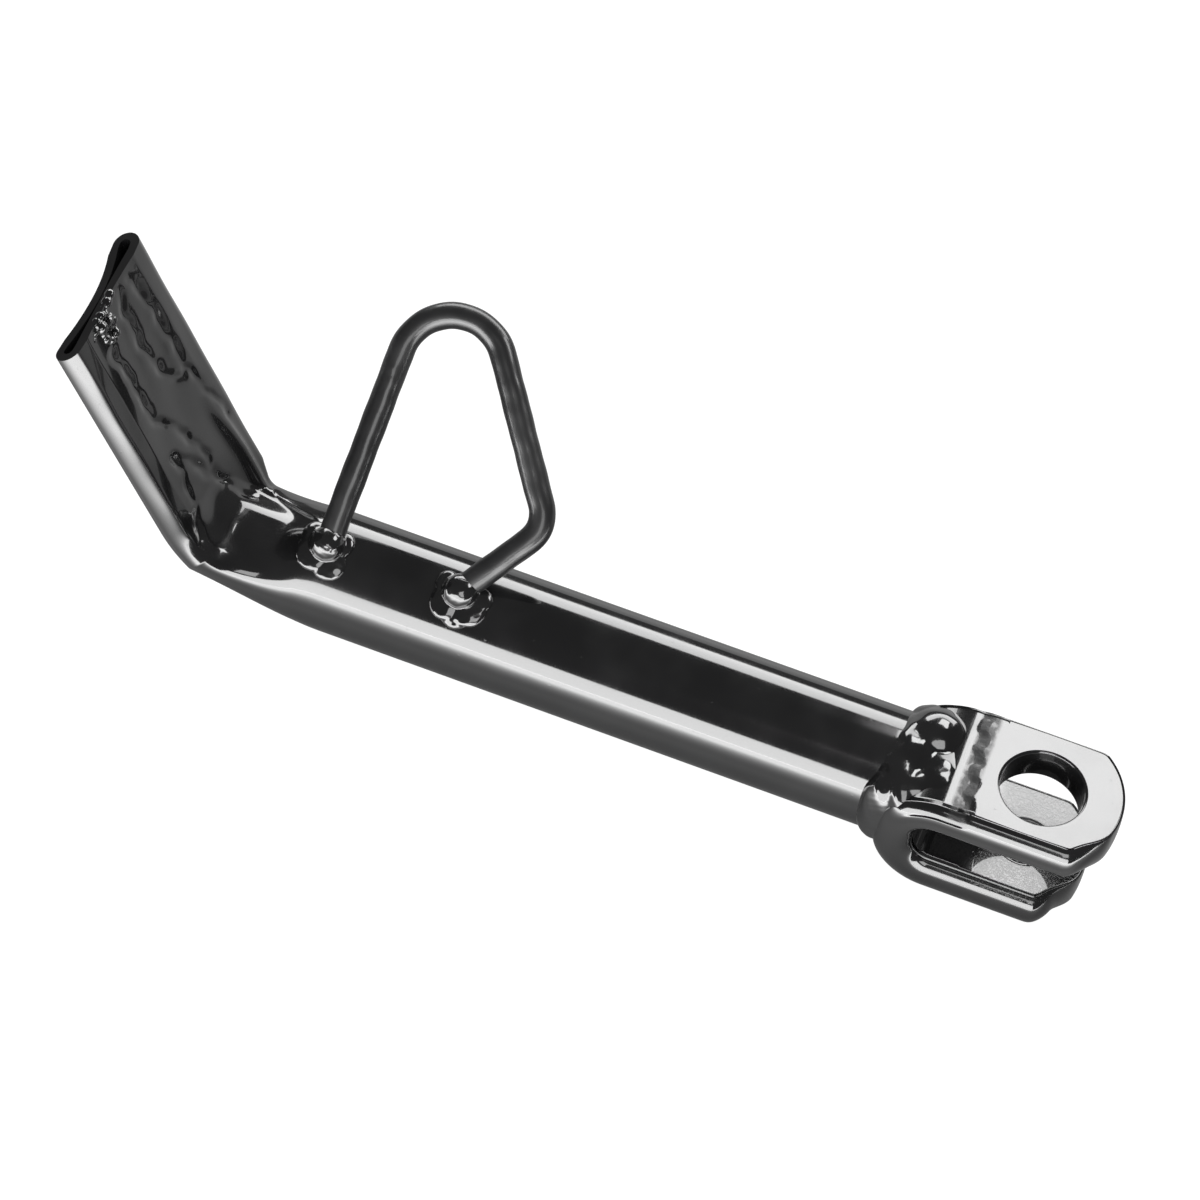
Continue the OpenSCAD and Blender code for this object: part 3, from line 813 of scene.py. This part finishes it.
def blob(centre, radii, turn=0.0, rise=0.0):
    """An ellipsoid: a unit sphere's points times three radii, tipped about Y by rise, turned about Z
    by turn (both in degrees), and moved to its centre."""
    up, round_ = np.meshgrid(np.linspace(0, math.pi, 25), np.linspace(0, 2 * math.pi, 36, endpoint=False),
                             indexing="ij")
    p = np.stack([np.sin(up) * np.cos(round_), np.sin(up) * np.sin(round_), np.cos(up)], -1).reshape(-1, 3)
    spin = Matrix.Rotation(math.radians(turn), 3, "Z") @ Matrix.Rotation(math.radians(rise), 3, "Y")
    return p * np.array(radii) @ np.array(spin).T + np.array(centre), grid_faces(25, 36)


def blob_on_tube(x, arc, height, radii, turn=0.0):
    """A blob over the leg tube, tipped so that its third radius points out of the tube's wall."""
    points, faces = blob((0, 0, 0), radii, turn)
    a = arc / TUBE_R
    y, z = points[:, 1] * math.cos(a) - points[:, 2] * math.sin(a), points[:, 1] * math.sin(a) + points[:, 2] * math.cos(a)
    return np.stack([points[:, 0], y, z], -1) + on_tube(np.array(x), arc, height), faces


def melted(parts, voxel, rounds):
    """Melts overlapping closed shapes into one skin. A voxel remesh joins them, and rounds of
    smoothing draw the creases between them full. Gives the skin's points, normals and quads."""
    starts = np.cumsum([0] + [len(points) for points, _ in parts])
    mesh = bpy.data.meshes.new("melt")
    mesh.from_pydata(np.concatenate([points for points, _ in parts]).tolist(), [],
                     np.concatenate([faces + start for (_, faces), start in zip(parts, starts)]).tolist())
    lump = bpy.data.objects.new("melt", mesh)
    bpy.context.scene.collection.objects.link(lump)
    remesh = lump.modifiers.new("melt", "REMESH")
    remesh.mode, remesh.voxel_size = "VOXEL", voxel
    ease = lump.modifiers.new("ease", "SMOOTH")
    ease.factor, ease.iterations = 0.5, rounds
    skin = lump.evaluated_get(bpy.context.evaluated_depsgraph_get()).to_mesh()
    points, normals = np.empty(len(skin.vertices) * 3), np.empty(len(skin.vertices) * 3)
    skin.vertices.foreach_get("co", points)
    skin.vertices.foreach_get("normal", normals)
    quads = np.empty(len(skin.loops), dtype=np.int32)
    skin.loops.foreach_get("vertex_index", quads)
    bpy.data.objects.remove(lump)
    return points.reshape(-1, 3), normals.reshape(-1, 3), quads.reshape(-1, 4)


def weld_piece(name, parts, node, seed, coarse, fine, voxel=0.16, rounds=9):
    """A melted weld whose skin is lifted along its normals by two sizes of ripple."""
    points, normals, quads = melted(parts, voxel, rounds)
    x, y, z = points.T
    lift = coarse * ripples(x + 0.6 * z, y - 0.4 * z, 5.0, seed) + fine * ripples(x - 0.3 * z, y + z, 2.2, seed + 1)
    return make_piece(name, points + normals * lift[:, None], quads, weld_paint, node)


# %% Welds at the loop's feet
SEAT_ARC = (SEAT_ANGLE - math.pi / 2) * TUBE_R
REAR_X, FRONT_X = -BEND_AT + REAR_FOOT, -BEND_AT + FRONT_FOOT
rear_puddles = [
    blob_on_tube(REAR_X, SEAT_ARC, 0.6, (3.2, 3.3, 3.2)), blob_on_tube(REAR_X - 1.6, SEAT_ARC + 2.0, 0.0, (3.6, 3.4, 1.0), 20),
    blob_on_tube(REAR_X + 1.4, SEAT_ARC + 3.0, -0.1, (3.2, 3.2, 0.85)), blob_on_tube(REAR_X - 2.8, SEAT_ARC - 1.2, 0.0, (2.4, 2.7, 1.0)),
    blob_on_tube(REAR_X + 2.6, SEAT_ARC - 1.0, 0.1, (2.0, 2.6, 1.0))]
weld_piece("rear_loop_weld", rear_puddles, "loop_weld_rear", 3, 0.10, 0.05)
front_puddles = [
    blob_on_tube(FRONT_X + 0.4, SEAT_ARC, 0.6, (3.3, 3.2, 3.0)), blob_on_tube(FRONT_X - 1.2, SEAT_ARC + 2.4, 0.0, (3.2, 3.4, 1.0), -15),
    blob_on_tube(FRONT_X + 2.8, SEAT_ARC + 2.4, 0.0, (3.4, 3.2, 0.9), 25), blob_on_tube(FRONT_X + 4.2, SEAT_ARC + 0.2, 0.0, (2.2, 2.4, 0.9)),
    blob_on_tube(FRONT_X - 2.6, SEAT_ARC - 0.8, 0.0, (2.0, 2.6, 1.0)), blob_on_tube(FRONT_X + 1.0, SEAT_ARC + 4.2, -0.1, (2.8, 2.4, 0.7))]
weld_piece("front_loop_weld", front_puddles, "loop_weld_front", 8, 0.10, 0.05)

# %% Weld round the fork
COLLAR_ROWS, COLLAR_COLUMNS = 60, 160
COLLAR_FROM, COLLAR_TO = -30.0, -21.5


def collar():
    """A barrel round the joint, closed to a point at both ends. Its radius rises from just inside the
    tube's wall at an uneven toe, and falls again inside the strap."""
    x, a = np.meshgrid(np.linspace(COLLAR_FROM, COLLAR_TO, COLLAR_ROWS),
                       np.linspace(0, 2 * math.pi, COLLAR_COLUMNS, endpoint=False), indexing="ij")
    toe = -28.3 - 1.3 * np.sin(a) + 0.3 * np.sin(5 * a + 1)
    r = TUBE_R - 0.9 + 1.75 * smooth((x - toe) / 3.6) + 0.25 * np.sin(3 * a + 0.5) * smooth((x - toe) / 3)
    r = r - 4.0 * smooth((x + 25.0) / 3.5) * (1 - smooth((np.cos(a) - 0.2) / 0.5))
    r[0] = r[-1] = 0.0
    points = np.stack([x, LEG_Y - r * np.sin(a), LEG_Z + r * np.cos(a)], -1)
    return points.reshape(-1, 3), grid_faces(COLLAR_ROWS, COLLAR_COLUMNS)


fork_puddles = [
    collar(),
    blob((-22.6, 0.6, -3.5), (7.2, 10.0, 7.35)),
    blob((-20.2, 4.7, -0.1), (5.7, 5.8, 5.5)),
    blob((-22.0, 8.2, -3.6), (4.8, 4.6, 5.8)),
    blob((-24.2, -3.8, -1.6), (4.0, 8.6, 5.0), 24, 0),
    blob((-25.4, -7.5, -7.0), (4.6, 4.5, 8.6)),
    blob((-17.4, -2.6, 2.3), (3.3, 5.6, 1.15), 14, 0),
    blob((-20.4, -6.0, 0.2), (3.6, 3.6, 2.7))]
weld_piece("fork_weld", fork_puddles, "clevis_weld", 21, 0.12, 0.025, voxel=0.2, rounds=45)

# %% Tack on the foot
TACK_AT, TACK_ACROSS = 72.6, -4.0
# more dabs along the end of the foot: along the leg, across it, and the dab's radius
DABS = [(76.0, 0.6, 0.9), (75.6, -0.9, 1.0), (75.4, -2.4, 0.8), (75.2, -5.4, 0.8), (74.6, -7.0, 0.9), (73.8, -8.4, 0.7)]


def tack_puddles():
    """A ring of small puddles left by one dab of the torch, standing on the foot's inner face round
    an oval pit: their centres lie on an ellipse along and across the foot."""
    parts = []
    for k in range(12):
        a = 2 * math.pi * k / 12
        centre, facing = leg_path(np.array(TACK_AT + 2.5 * math.sin(a)), np.array(BEND_R))
        size = 0.85 + 0.2 * math.sin(5.0 * a + 1)
        centre = centre + facing * (2.35 + 0.2 * math.sin(3 * a)) + np.array([0, TACK_ACROSS + 1.8 * math.cos(a), 0])
        parts.append(blob(centre, (size, 1.15 * size, 1.3 * size), 0, 27))
    for at, across, size in DABS:
        centre, facing = leg_path(np.array(at), np.array(BEND_R))
        parts.append(blob(centre + facing * 2.2 + np.array([0, across, 0]), (size, 1.3 * size, size), 0, 27))
    centre, facing = leg_path(np.array(TACK_AT), np.array(BEND_R))
    parts.append(blob(centre + facing * 1.5 + np.array([0, TACK_ACROSS, 0]), (1.0, 2.4, 3.0), 0, 27))
    return parts


weld_piece("foot_tack", tack_puddles(), "foot_tack_weld", 31, 0.08, 0.03, voxel=0.12, rounds=10)
